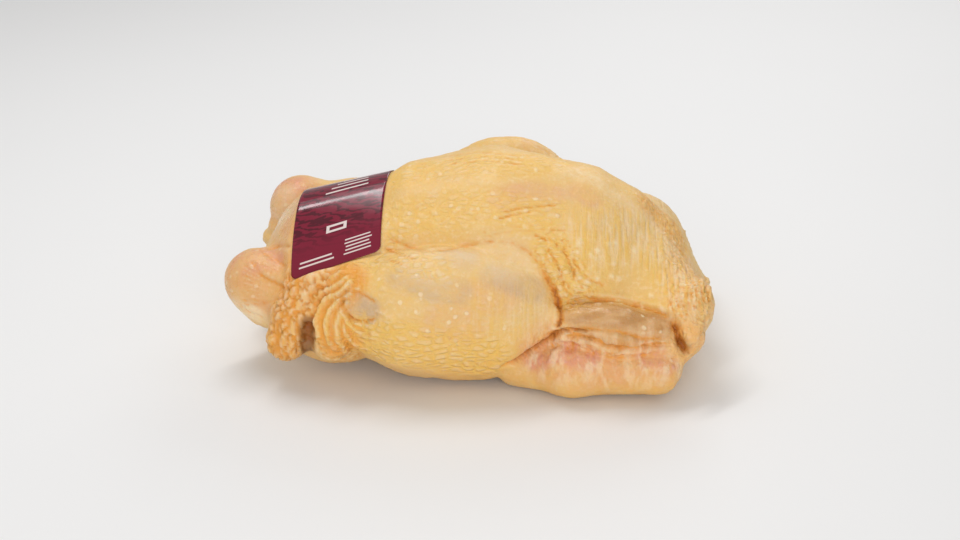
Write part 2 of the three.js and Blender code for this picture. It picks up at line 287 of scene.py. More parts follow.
def label_coordinates(points):
    """Where points lie on the label: u, s and the height above it."""
    u = np.clip((points[:, 0] - LABEL_START_X) / LABEL_WIDTH, -1, 2)
    for _ in range(2):
        readings = []
        for centre_y, centre_z, radius, first_slope, first_s in label_arcs(u):
            y = points[:, 1] - centre_y
            z = points[:, 2] - centre_z
            s = first_s + (first_slope - np.arctan2(-y, z)) * radius
            readings.append((s, np.hypot(y, z) - radius))
        (face_s, face_height), (s, height), (back_s, back_height) = readings
        on_face = s < LABEL_FACE_LENGTH
        on_back = s > LABEL_FACE_LENGTH + LABEL_BEND_LENGTH
        s = np.where(on_face, face_s, np.where(on_back, back_s, s))
        height = np.where(on_face, face_height, np.where(on_back, back_height, height))
        within = np.clip(s, -LABEL_LENGTH, 2 * LABEL_LENGTH)
        u = np.clip((points[:, 0] - LABEL_START_X - label_lean(within)) / LABEL_WIDTH, -1, 2)
    return u, s, height


def past_label(u, s):
    """How far places lie outside the label's outline, negative inside it."""
    past_sides = (np.abs(u - 0.5) - 0.5) * LABEL_WIDTH
    past_ends = np.abs(s - LABEL_LENGTH / 2) - LABEL_LENGTH / 2
    return np.maximum(past_sides, past_ends)


def seat_skin(points, distance):
    """Fills the skin up to the label, presses it smooth there and slopes the breast down to it."""
    u, s, height = label_coordinates(points)
    pad_depth = np.abs(height + PAD_MIDDLE) - PAD_MIDDLE + SEAT_DEPTH
    pad = np.maximum(pad_depth, past_label(u, s) - PAD_MARGIN)
    distance = join(distance, pad, PAD_BLEND)
    to_neck_or_behind = np.maximum((u - 1) * LABEL_WIDTH, s - LABEL_LENGTH)
    to_tail_or_below = np.maximum(-u * LABEL_WIDTH, -s)
    ramp = SEAT_RAMP * np.maximum(to_neck_or_behind - SEAT_MARGIN, 0)
    beyond_seat = np.maximum(to_tail_or_below - SEAT_MARGIN, to_neck_or_behind - SEAT_REACH)
    above_seat = np.maximum(ramp - height - SEAT_DEPTH, beyond_seat)
    return keep_inside(distance, -above_seat, BLEND_TIGHT)


def bird_distance(points):
    d = trunk(points)
    for form in LEGS:
        d = join(d, leg(points, form), BLEND_TIGHT)
    for knob in HOCK_KNOBS:
        d = add_lump(d, points, knob, BLEND_SKIN)
    for roll in HOCK_ROLLS:
        d = add_lump(d, points, roll, BLEND_TIGHT)
    d = add_lump(d, points, FLANK, BLEND_SKIN)
    for fold in SKIN_FOLDS:
        d = add_chain(d, points, fold, BLEND_FOLD)
    for side in (-1, 1):
        d = add_wing(points, d, side)
    for chains, width in ((NECK_SKIN, BLEND_FLESH), (NECK_SKIN_TIPS, BLEND_TIGHT)):
        for stops in chains:
            d = add_chain(d, points, stops, width)
    return keep_inside(seat_skin(points, d), -points[:, 2], REST_EDGE)


# Fine mesh of the form

def grid_points(low, counts, step):
    axes = [low[i] + step * np.arange(counts[i]) for i in range(3)]
    return np.stack(np.meshgrid(*axes, indexing="ij"), axis=-1)


def sample_field(form, low, high, step):
    """Field values on a grid, worked out exactly only near the surface."""
    low = np.array(low, float)
    wide = step * COARSE
    counts = np.ceil((np.array(high) - low) / wide).astype(int) + 1
    coarse = form(grid_points(low, counts, wide).reshape(-1, 3)).reshape(counts)
    fine_counts = (counts - 1) * COARSE + 1
    nearest = [(np.arange(n) + COARSE // 2) // COARSE for n in fine_counts]
    values = coarse[np.ix_(*nearest)]
    close = np.abs(values) < EXACT_REACH * wide
    values[close] = form(grid_points(low, fine_counts, step)[close])
    return low, values


def surface_nets(low, values, step):
    """One vertex in each grid cell that the surface crosses, and a quad for each crossed edge."""
    cells = np.array(values.shape) - 1
    count = np.zeros(cells, int)
    total = np.zeros((*cells, 3))
    shifted = (slice(None, -1), slice(1, None))
    for axis in range(3):
        for corner in np.ndindex(2, 2, 2):
            if corner[axis]:
                continue
            far = list(corner)
            far[axis] = 1
            a = values[tuple(shifted[c] for c in corner)]
            b = values[tuple(shifted[c] for c in far)]
            crossed = (a < 0) != (b < 0)
            t = a[crossed] / (a[crossed] - b[crossed])
            spot = np.tile(np.array(corner, float), (len(t), 1))
            spot[:, axis] += t
            total[crossed] += spot
            count += crossed
    active = count > 0
    index = np.full(cells, -1)
    index[active] = np.arange(active.sum())
    base = np.argwhere(active)
    points = (base + total[active] / count[active][:, None]) * step + low
    return points, np.concatenate([edge_quads(values < 0, index, axis) for axis in range(3)])


def edge_quads(inside, index, axis):
    side, other = (axis + 1) % 3, (axis + 2) % 3
    here = [slice(1, -1)] * 3
    there = [slice(1, -1)] * 3
    here[axis] = slice(0, -1)
    there[axis] = slice(1, None)
    a = inside[tuple(here)]
    places = np.argwhere(a != inside[tuple(there)])
    outward = a[tuple(places.T)]
    places[:, side] += 1
    places[:, other] += 1
    ring = []
    for du, dv in ((-1, -1), (0, -1), (0, 0), (-1, 0)):
        cell = places.copy()
        cell[:, side] += du
        cell[:, other] += dv
        ring.append(index[tuple(cell.T)])
    quads = np.stack(ring, axis=1)
    quads[~outward] = quads[~outward][:, ::-1]
    return quads


class Skin:
    """Vertices and quads of the bird, with the sums that folding and colouring need."""

    def __init__(self, points, quads):
        self.points = points
        self.quads = quads
        edges = np.concatenate([quads[:, [i, (i + 1) % 4]] for i in range(4)])
        self.edges = np.unique(np.sort(edges, axis=1), axis=0)
        self.degree = np.bincount(self.edges.ravel(), minlength=len(points)).astype(float)

    def spread(self, values):
        """Mean of each vertex's neighbours, for one column of values."""
        first, second = self.edges.T
        count = len(values)
        ahead = np.bincount(first, values[second], count)
        return (ahead + np.bincount(second, values[first], count)) / self.degree

    def smooth(self, values, rounds):
        for _ in range(rounds):
            values = 0.5 * values + 0.5 * self.spread(values)
        return values

    def smooth_points(self, rounds):
        return np.stack([self.smooth(column, rounds) for column in self.points.T], axis=1)

    def normals(self):
        p = self.points[self.quads]
        face = np.repeat(np.cross(p[:, 2] - p[:, 0], p[:, 3] - p[:, 1]), 4, axis=0)
        corners = self.quads.ravel()
        sums = [np.bincount(corners, column, len(self.points)) for column in face.T]
        total = np.stack(sums, axis=1)
        return total / np.maximum(np.linalg.norm(total, axis=1, keepdims=True), 1e-12)

    def push(self, amount):
        """Moves the skin out along its normals, but never below the face it rests on."""
        lift = np.clip(self.points[:, 2] / REST_FADE, 0, 1)
        self.points = self.points + self.normals() * (amount * lift)[:, None]

    def hollowness(self, rounds):
        """Positive in creases and negative on ridges, per millimetre of mesh spacing."""
        wide = self.smooth_points(rounds)
        return np.einsum("ij,ij->i", wide - self.points, self.normals()) / STEP


# Noise

def scramble(cells, seed):
    """A random number from 0 to 1 for each whole-numbered cell."""
    h = (cells[..., 0] * 73856093) ^ (cells[..., 1] * 19349663) ^ (cells[..., 2] * 83492791)
    h = (h + seed * 2654435761) & 0xFFFFFFFF
    h = ((h ^ (h >> 15)) * 2246822519) & 0xFFFFFFFF
    h = ((h ^ (h >> 13)) * 3266489917) & 0xFFFFFFFF
    return ((h ^ (h >> 16)) & 0xFFFFFF) / float(0x1000000)


def soft_noise(points, size, seed):
    """Smooth noise from -1 to 1 with features of about the given size."""
    scaled = points / size
    cell = np.floor(scaled).astype(np.int64)
    t = scaled - cell
    t = t * t * (3 - 2 * t)
    total = 0.0
    for corner in np.ndindex(2, 2, 2):
        weight = np.prod(np.where(corner, t, 1 - t), axis=1)
        total = total + weight * scramble(cell + np.array(corner), seed)
    return 2 * total - 1


def rough_noise(points, size, seed):
    total = 0.0
    for octave in range(3):
        total = total + soft_noise(points, size / 2 ** octave, seed + octave) / 2 ** octave
    return total


def pebbles(points, size, seed):
    """Distances to the nearest and second nearest of scattered seeds, in seed spacings."""
    scaled = points / size
    cell = np.floor(scaled).astype(np.int64)
    nearest = np.full(len(points), 9.0)
    second = np.full(len(points), 9.0)
    for offset in np.ndindex(3, 3, 3):
        neighbour = cell + np.array(offset) - 1
        jitter = np.stack([scramble(neighbour, seed + k) for k in range(3)], axis=1)
        reach = np.linalg.norm(neighbour + jitter - scaled, axis=1)
        second = np.minimum(second, np.maximum(reach, nearest))
        nearest = np.minimum(nearest, reach)
    return nearest, second


def ease(values, low, high):
    t = np.clip((values - low) / (high - low), 0, 1)
    return t * t * (3 - 2 * t)


# Camera, and lines cast from it: the far leg lies nearer the neck and higher
LINE_PARTS = 6
FAR_SHIFT = Vector((20, 0, 15))


def camera_axes():
    forward = np.array([
        -math.sin(CAMERA_TURN) * math.cos(CAMERA_PITCH),
        math.cos(CAMERA_TURN) * math.cos(CAMERA_PITCH),
        -math.sin(CAMERA_PITCH),
    ])
    right = np.array([math.cos(CAMERA_TURN), math.sin(CAMERA_TURN), 0.0])
    return right, np.cross(right, forward), forward


def camera_place():
    right, up, forward = camera_axes()
    aside = (AIM_PIXEL[0] - PHOTO_WIDTH / 2) / FOCAL_PIXELS * CAMERA_DISTANCE
    above = (PHOTO_HEIGHT / 2 - AIM_PIXEL[1]) / FOCAL_PIXELS * CAMERA_DISTANCE
    return AIM_POINT - CAMERA_DISTANCE * forward - aside * right - above * up


def pixel_ray(pixel):
    right, up, forward = camera_axes()
    across = (pixel[0] - PHOTO_WIDTH / 2) / FOCAL_PIXELS
    raised = (PHOTO_HEIGHT / 2 - pixel[1]) / FOCAL_PIXELS
    return forward + across * right + raised * up


def between(start, end, t):
    return start[0] + (end[0] - start[0]) * t, start[1] + (end[1] - start[1]) * t


class Caster:
    """Finds the skin under a pixel of the photograph, on the shown side or mirrored behind."""

    def __init__(self, skin):
        self.tree = BVHTree.FromPolygons(skin.points.tolist(), skin.quads.tolist())
        self.origin = Vector(camera_place())

    def spot(self, pixel):
        ray = Vector(pixel_ray(pixel))
        hit = self.tree.ray_cast(self.origin, ray)[0]
        if hit is None:
            hit = self.tree.find_nearest(self.origin + ray * CAMERA_DISTANCE)[0]
        return hit

    def line(self, pixels, far):
        """A line on the skin through the given pixels."""
        spots = []
        for start, end in zip(pixels[:-1], pixels[1:]):
            spots += [between(start, end, i / LINE_PARTS) for i in range(LINE_PARTS)]
        spots.append(pixels[-1])
        hits = [self.spot(pixel) for pixel in spots]
        if far:
            mirrored = [Vector((hit.x, -hit.y, hit.z)) + FAR_SHIFT for hit in hits]
            hits = [self.tree.find_nearest(place)[0] for place in mirrored]
        return np.array(hits)

    def bundle(self, first, last, count, far=False):
        """Lines spaced evenly from the first line of pixels to the last."""
        lines = []
        for i in range(count):
            pixels = [between(a, b, i / (count - 1)) for a, b in zip(first, last)]
            lines.append(self.line(pixels, far))
        return lines


def line_distance(points, line, cutoff):
    """Distance to a line on the skin, up to the cutoff, and how far along it, from 0 to 1."""
    best = np.full(len(points), float(cutoff))
    place = np.zeros(len(points))
    inside = np.all((points > line.min(0) - cutoff) & (points < line.max(0) + cutoff), axis=1)
    close = points[inside]
    near_best = best[inside]
    near_place = place[inside]
    parts = len(line) - 1
    for i in range(parts):
        along = line[i + 1] - line[i]
        length = max(along @ along, 1e-9)
        t = np.clip((close - line[i]) @ along / length, 0, 1)
        reach = np.linalg.norm(close - line[i] - t[:, None] * along, axis=1)
        closer = reach < near_best
        near_best[closer] = reach[closer]
        near_place[closer] = (i + t[closer]) / parts
    best[inside] = near_best
    place[inside] = near_place
    return best, place


# Places on the photograph, as pixels of its frame

# Cords of gathered skin: a line, and how high and wide in millimetres
SHANK_CORDS = (
    ([(351, 274), (342, 282), (332, 288), (320, 293), (312, 304), (309, 318)], 1.6, 1.4),
    ([(354, 276), (348, 285), (340, 293), (328, 298), (320, 308),
      (317, 322), (320, 338), (328, 352)], 2.4, 1.5),
    ([(356, 286), (348, 295), (338, 301), (330, 311), (326, 324), (329, 340), (338, 354)], 2.3, 1.4),
    ([(352, 298), (346, 304), (340, 314), (336, 326), (339, 342), (348, 355)], 2.0, 1.4),
    ([(347, 306), (345, 315), (348, 323), (356, 330), (366, 336), (380, 339)], 1.9, 1.3),
    ([(342, 322), (346, 334), (353, 343), (366, 349)], 1.6, 1.3),
    ([(352, 322), (364, 325), (376, 323)], 1.4, 1.2),
    ([(374, 309), (386, 315), (398, 323)], 1.0, 1.1),
    ([(362, 287), (352, 291), (345, 299)], 1.2, 1.1),
    ([(345, 268), (334, 278), (322, 283), (310, 288)], 1.2, 1.3),
)
# Grooves: a line, and how deep and wide in millimetres
GROOVES = (
    ([(404, 246), (432, 250), (452, 248), (478, 243), (500, 241)], 1.1, 1.4),
    ([(494, 241), (512, 243), (528, 251), (540, 264), (547, 279)], 1.5, 1.6),
    ([(538, 262), (547, 279), (554, 291), (560, 305), (560, 318), (556, 330)], 2.3, 1.7),
    ([(556, 298), (560, 308), (561, 319), (555, 331)], 3.6, 1.5),
    ([(555, 241), (563, 250), (570, 261), (574, 273), (572, 286)], 1.3, 1.0),
    ([(561, 244), (572, 259), (581, 272), (590, 282)], 1.0, 1.0),
    ([(546, 246), (556, 262), (562, 278), (564, 292)], 1.2, 1.0),
    ([(578, 272), (592, 281), (606, 286)], 0.9, 0.9),
    ([(532, 234), (546, 239), (556, 242)], 0.9, 0.9),
    ([(584, 298), (600, 300), (617, 302), (642, 307), (661, 313), (673, 321)], 1.0, 1.1),
    ([(672, 318), (678, 331), (681, 341), (685, 351), (687, 355)], 4.2, 1.7),
    ([(555, 334), (565, 331), (576, 330), (592, 331)], 3.4, 1.1),
    ([(572, 328), (584, 328), (600, 330), (617, 331),
      (630, 335), (642, 339), (660, 339), (675, 337)], 2.0, 1.4),
    ([(560, 337), (575, 336), (592, 339), (602, 345),
      (618, 348), (640, 348), (660, 344), (677, 344)], 2.2, 1.5),
    ([(562, 328), (552, 338), (541, 346), (528, 355), (514, 363), (498, 369)], 3.2, 1.6),
    ([(500, 212), (520, 208), (545, 206), (560, 204)], 0.8, 0.8),
    ([(496, 219), (515, 214), (540, 210)], 0.7, 0.8),
    ([(470, 240), (505, 232), (548, 229), (586, 232)], 0.5, 0.8),
    ([(476, 234), (510, 227), (556, 224)], 0.4, 0.8),
    ([(386, 238), (404, 245), (428, 253)], 0.7, 0.9),
    ([(384, 248), (400, 254), (418, 260)], 0.7, 0.9),
    ([(380, 258), (396, 262), (412, 268)], 0.6, 0.9),
)
# Grooves on the shown side alone: the dimple's rim, the hock, and the hollow behind loose skin
SHOWN_GROOVES = (
    ([(342, 292), (343, 304), (349, 317), (362, 323), (378, 318)], 1.7, 1.0),
    ([(343, 292), (351, 290), (364, 295), (378, 304)], 1.2, 0.9),
    ([(250, 259), (262, 275), (286, 288)], 0.9, 0.9),
    ([(258, 248), (272, 258), (288, 268)], 0.8, 1.0),
    ([(236, 303), (250, 314), (264, 318)], 0.8, 1.2),
    ([(266, 250), (278, 246), (292, 246)], 1.2, 1.3),
    ([(308, 320), (307, 332), (309, 346)], 3.0, 2.2),
)
# The lip of breast skin that overhangs the wing, and the ragged upper edge of the lower wing
RIDGES = (
    ([(572, 293), (600, 295), (620, 297), (644, 302), (664, 308), (678, 318)], 1.2, 1.5),
    ([(548, 341), (562, 339), (580, 341), (594, 342),
      (604, 348), (620, 351), (646, 350), (668, 346)], 1.2, 1.6),
    ([(570, 284), (580, 289), (594, 291)], 0.9, 1.6),
    ([(553, 270), (560, 284), (566, 298)], 1.0, 1.6),
    ([(566, 314), (600, 314), (640, 322), (668, 332)], 1.6, 6.0),
)
# Bundles: the first and last line, how many, and how high or deep and wide in millimetres
FLAP_RIBS = ([(671, 294), (680, 320), (689, 349)], [(704, 270), (709, 300), (694, 344)], 8)
RIB_HEIGHT = 1.9
FAR_RIB_HEIGHT = 0.8
RIB_WIDTH = 1.15
FAR_TOP_LINES = (
    [(432, 158), (480, 152), (530, 156)], [(440, 165), (486, 160), (536, 166)], 3, 0.6, 1.0,
)
HOCK_STREAKS = (
    [(240, 262), (262, 276), (288, 289)], [(238, 306), (262, 304), (286, 297)], 9, 0.9, 0.9,
)

# Patches: lines of pixels, and the radius in millimetres over which each fades out
SHOWN_PATCHES = {
    # keel: painted highlight, paler along the keel ridge
    "keel": ([[(560, 168), (600, 184), (640, 213), (690, 262)]], 6),
    "far_keel": ([[(650, 205), (668, 222), (678, 240)]], 13),
    "patch": ([[(353, 302), (370, 311)]], 9),
    "hock": ([[(240, 285), (272, 282)], [(285, 200), (300, 215)]], 28),
    "hock_top": ([[(246, 258), (268, 256)], [(280, 188), (300, 186)]], 16),
    "hock_end": ([[(240, 308), (256, 316)]], 9),
    "fold_light": ([[(319, 274), (313, 296)]], 12),
    "gold": ([[(405, 192), (445, 184)], [(545, 196), (580, 200)]], 16),
    "far_hock": ([[(283, 200), (284, 216)]], 13),
    # gap: painted shade in the hollow behind the loose skin
    "gap": ([[(308, 324), (307, 350)]], 6),
}
PAIRED_PATCHES = {
    "hanging": ([[(318, 266), (300, 284), (291, 310), (284, 345)]], 19),
    "shank": ([[(346, 280), (330, 300), (326, 325), (340, 345)]], 15),
    "shank_end": ([[(326, 346), (346, 356)]], 13),
    "lower_thigh": ([[(366, 340), (400, 346), (440, 352), (480, 358)]], 21),
    "upper_thigh": ([[(400, 290), (440, 310), (478, 322)]], 22),
    "thigh_top": ([[(470, 256), (510, 262)], [(420, 262), (440, 266)]], 15),
    "breast_rows": (
        [[(392, 224), (430, 214), (470, 206), (545, 212)], [(400, 172), (470, 165), (560, 160)]], 15,
    ),
    "blotches": ([[(575, 262), (610, 262), (650, 280), (672, 300)], [(600, 285), (650, 292)]], 21),
    "knee_side": ([[(552, 252), (566, 272), (574, 292)]], 15),
    "streaks": ([[(600, 235), (650, 240), (690, 285)]], 24),
    "thigh_streaks": ([[(490, 312), (530, 318)]], 22),
    "flap": ([[(690, 270), (698, 300), (692, 335)]], 22),
    "flap_tip": ([[(684, 342), (690, 347)]], 14),
    "tip_shadow": ([[(682, 344), (686, 350)]], 5),
    "wing": ([[(578, 311), (620, 316), (662, 326)]], 12),
    "wing_sheet": ([[(585, 333), (630, 340)]], 8),
    "wing_dots": ([[(640, 316), (668, 330)]], 12),
    "lower_wing": ([[(550, 352), (610, 360), (680, 356)]], 22),
    "wing_pink": ([[(538, 357), (562, 352), (586, 358)], [(650, 355), (668, 361)]], 11),
    "label_side": ([[(394, 226), (384, 250), (352, 272)], [(400, 262), (440, 268)]], 12),
    "torn": ([[(548, 341), (580, 341), (606, 349), (650, 348)]], 8),
    "breast_pink": ([[(500, 198), (530, 190), (555, 193)], [(578, 192), (590, 198)]], 9),
    "thigh_grey": (
        [[(398, 276), (432, 290), (460, 292)], [(492, 276), (535, 290)], [(449, 255), (466, 259)]], 9,
    ),
    "thigh_rose": ([[(470, 300), (500, 298)], [(440, 322), (470, 326)]], 14),
}

SEED = 11
CORD_LIFT = 0.4
GLOW_WIDENING = 2.6
GLOW_FULL = 3
FAR_WEIGHT = 0.6
PATCH_CORE = 0.4
CORD_TAPER = 0.15
UNEVENNESS = 0.35
NECK_END_SPAN = (82, 102)
TAIL_END_SPAN = (-112, -90)


def build_skin():
    low, values = sample_field(bird_distance, SAMPLE_LOW, SAMPLE_HIGH, STEP)
    points, quads = surface_nets(low, values, STEP)
    points[points[:, 2] < FLAT_SNAP, 2] = 0
    return Skin(points, quads)


class Places:
    """Marks round named lines on the skin, the same on the shown and the far side."""

    def __init__(self, skin):
        self.caster = Caster(skin)
        self.points = skin.points
        self.unevenness = 1 + UNEVENNESS * rough_noise(skin.points, 8, SEED)

    def near(self, patch, both):
        """1 near a patch's lines, fading out to 0 at its radius."""
        lines, radius = patch
        mask = np.zeros(len(self.points))
        for pixels in lines:
            for far in (False, True) if both else (False,):
                reach, _ = line_distance(self.points, self.caster.line(pixels, far), radius)
                weight = FAR_WEIGHT if far else 1
                mask = np.maximum(mask, weight * (1 - ease(reach, PATCH_CORE * radius, radius)))
        return mask

    def bead(self, line, width):
        """A rounded cord along a line: 1 on its crown, 0 away from it."""
        reach, along = line_distance(self.points, line, 3 * width)
        taper = ease(along, 0, CORD_TAPER) * (1 - ease(along, 1 - CORD_TAPER, 1))
        return np.exp(-(reach / width) ** 2) * taper

    def beads(self, strokes, far, widening=1):
        """The heights of many cords that lie side by side."""
        height = np.zeros(len(self.points))
        for pixels, size, width in strokes:
            line = self.caster.line(pixels, far)
            height = np.maximum(height, size * self.bead(line, widening * width))
        return height * self.unevenness


def fold_skin(skin, places):
    """Folds wide enough to be seen from a step away. Gives the grooves' depth and glow, a wider orange
    halo round them that is partly painted shade.
    """
    move, depth, glow = np.zeros((3, len(skin.points)))
    for far in (False, True):
        cords = places.beads(SHANK_CORDS, far)
        move += cords + places.beads(RIDGES, far)
        depth -= CORD_LIFT * cords
        depth += places.beads(GROOVES, far)
        glow += places.beads(GROOVES, far, GLOW_WIDENING)
        for line in places.caster.bundle(*FLAP_RIBS, far):
            move += (FAR_RIB_HEIGHT if far else RIB_HEIGHT) * places.bead(line, RIB_WIDTH)
    depth += places.beads(SHOWN_GROOVES, False)
    for first, last, count, size, width in (FAR_TOP_LINES, HOCK_STREAKS):
        for line in places.caster.bundle(first, last, count):
            depth += size * places.bead(line, width)
    skin.push(move - np.maximum(depth, 0))
    return depth, np.clip(glow / GLOW_FULL, 0, 1)


def wrinkle_skin(skin, masks):
    """Lumps, creases and pimples, in millimetres. Gives where pimples and gaps of lumps lie."""
    p = skin.points
    warp = np.stack([rough_noise(p, 16, SEED + 10 * k) for k in range(3)], axis=1)
    bent = p + 2.5 * warp
    net = pebbles(bent * (1, 1, 0.45), 4.0, SEED + 40)
    lumps = ease(net[1] - net[0], 0.0, 0.28)
    rows = pebbles(bent * (0.4, 1, 1), 2.9, SEED + 50)
    wrinkles = ease(rows[1] - rows[0], 0.0, 0.55)
    soft_spots = pebbles(p + 0.8 * warp, 6.0, SEED + 65)
    blotches = 1 - ease(soft_spots[0], 0.08, 0.40)
    rag = rough_noise(p * (1, 1, 0.5), 4.5, SEED + 70)
    hanging = np.maximum(masks["hanging"], 0.6 * masks["shank_end"])
    move = 1.9 * hanging * (lumps - 0.6)
    for name, height, relief in (
        ("lower_thigh", 0.4, wrinkles - 0.6),
        ("knee_side", 0.75, lumps - 0.5),
        ("flap", 0.35, lumps - 0.5),
        ("far_keel", 0.45, lumps - 0.5),
        ("lower_wing", 0.5, rag),
        ("torn", 0.8, rag),
    ):
        move += height * masks[name] * relief
    move += 0.3 * np.maximum(masks["breast_rows"], 0.9 * masks["ends"]) * (wrinkles - 0.6)
    move += 0.5 * masks["ends"] * rough_noise(p * (1, 0.4, 1), 9, SEED + 95)
    spots = masks["blotches"] * blotches
    move += 0.55 * spots
    move += 0.3 * rough_noise(p, 14, SEED + 80)
    move += 0.5 * masks["under"] * rough_noise(p, 7, SEED + 85)
    move += 0.10 * (1 - masks["smooth"]) * rough_noise(p, 3.2, SEED + 90)
    skin.push(move * masks["free"])
    return spots, hanging * (1 - lumps)


def strongest(masks, *others, **weights):
    """The largest of the named masks, each times its weight, and of the other values."""
    return np.maximum.reduce([weight * masks[name] for name, weight in weights.items()] + list(others))


def skin_masks(skin, places):
    """Where each kind of skin lies, from 0 to 1 at each vertex."""
    masks = {name: places.near(patch, False) for name, patch in SHOWN_PATCHES.items()}
    masks.update({name: places.near(patch, True) for name, patch in PAIRED_PATCHES.items()})
    x, _, z = skin.points.T
    ends = np.maximum(ease(x, *NECK_END_SPAN), 1 - ease(x, *TAIL_END_SPAN))
    masks["dots"] = strongest(
        masks, 0.6 * ends, upper_thigh=1, breast_rows=0.7, flap=0.8, wing_dots=1, far_keel=0.6,
    )
    masks["smooth"] = strongest(masks, hock=0.8, patch=1, wing=1)
    # under: near the resting face; roughened there, and painted orange as shade
    masks["under"] = 1 - ease(z, 4, 30)
    masks["ends"] = ends * (1 - masks["smooth"])
    masks["free"] = 1 - label_cover(skin.points)
    return masks


def label_cover(points):
    """1 on the skin below the label."""
    u, s, height = label_coordinates(points)
    return (1 - ease(past_label(u, s), 1, 4)) * ease(height, -9, -5)


def skin_colours(skin, masks, spots, gaps, depth, glow):
    """Four layers of four: tint, relief, tone_and_deep_shade and gather, read in that order by
    skin_material. Some channels hold painted shade.
    """
    hollow = skin.hollowness(2)
    wide_hollow = skin.hollowness(12)
    # Crease colour: orange fat tone and painted shade in hollows, grooves, gaps between lumps and
    # between cords
    between_cords = 0.9 * masks["shank"] * ease(depth, -0.6, -0.1)
    grooves = 0.8 * ease(depth, 0.7, 2.4)
    crease = np.maximum.reduce([ease(hollow, 0.03, 0.28), grooves, gaps, between_cords])
    ridge = ease(-hollow, 0.03, 0.26)
    # Painted shade deep in wide hollows and in the deepest grooves
    deep = np.maximum(ease(wide_hollow, 0.55, 1.9), 0.8 * ease(depth, 1.9, 3.2))
    low = 1 - ease(skin.points[:, 2], 8, 30)
    off_tip = 1 - masks["flap_tip"]
    # Orange: own tone of loose skin, flap and wing; under the bird it is painted shade, and round
    # grooves partly so
    orange = strongest(
        masks, 0.85 * masks["hanging"] * (1 - 0.6 * masks["fold_light"]), 0.45 * glow, shank=0.3,
        flap=0.18, flap_tip=1, torn=1, lower_wing=0.4, under=0.4, far_keel=0.3, hock=0.5,
    )
    pink = off_tip * strongest(
        masks, breast_pink=0.35, wing_pink=1, lower_wing=0.35, hock_top=0.7, thigh_rose=0.25, hock=0.3,
    )
    grey = strongest(masks, thigh_grey=0.6, patch=0.9, gold=0.2)
    # Paler tone; along the keel it is a painted highlight
    pale = strongest(
        masks, 0.5 * ridge, keel=0.3, hock_end=1, thigh_top=0.35, flap=0.4, fold_light=0.6, far_hock=0.5,
    )
    wet = strongest(masks, smooth=1, keel=0.3)
    # Painted shade: darker low on the hanging skin, under the flap tip and in the gap behind the loose
    # skin
    painted_shade = strongest(masks, 0.3 * masks["hanging"] * low, tip_shadow=0.3, gap=0.85)
    streaks = strongest(masks, streaks=1, thigh_streaks=0.45, shank=0.8, hanging=0.5)
    yolk = strongest(
        masks, knee_side=1, lower_thigh=0.7, breast_rows=0.5, blotches=0.5, shank=0.4, gold=0.8,
    )
    flesh = strongest(masks, wing=1, wing_sheet=0.6, hock=0.12)
    rows = strongest(
        masks, lower_thigh=1, knee_side=0.9, label_side=0.8, breast_rows=0.6, shank=0.4,
        upper_thigh=0.3, ends=0.4,
    )
    lumps = strongest(masks, hanging=0.3, flap=0.6, far_keel=0.5, lower_wing=0.4)
    bands = off_tip * strongest(masks, wing_pink=1, lower_wing=0.7)
    return (
        np.stack([orange, pink, grey, pale], axis=1),
        np.stack([crease, spots, wet, painted_shade], axis=1),
        np.stack([streaks, yolk, flesh, deep], axis=1),
        np.stack([rows, lumps, bands, masks["dots"]], axis=1) * masks["free"][:, None],
    )


# Blender helpers

def to_frame(points, shift):
    """Bird millimetres to the frame's metres."""
    return (np.asarray(points, float) + shift) * MM


def mesh_object(name, points, faces):
    mesh = bpy.data.meshes.new(name)
    mesh.from_pydata(np.asarray(points).tolist(), [], [list(face) for face in faces])
    mesh.polygons.foreach_set("use_smooth", [True] * len(mesh.polygons))
    mesh.update()
    piece = bpy.data.objects.new(name, mesh)
    scene.collection.objects.link(piece)
    return piece


def add_colours(mesh, name, values):
    layer = mesh.color_attributes.new(name, "FLOAT_COLOR", "POINT")
    layer.data.foreach_set("color", np.ascontiguousarray(values, dtype=np.float32).ravel())


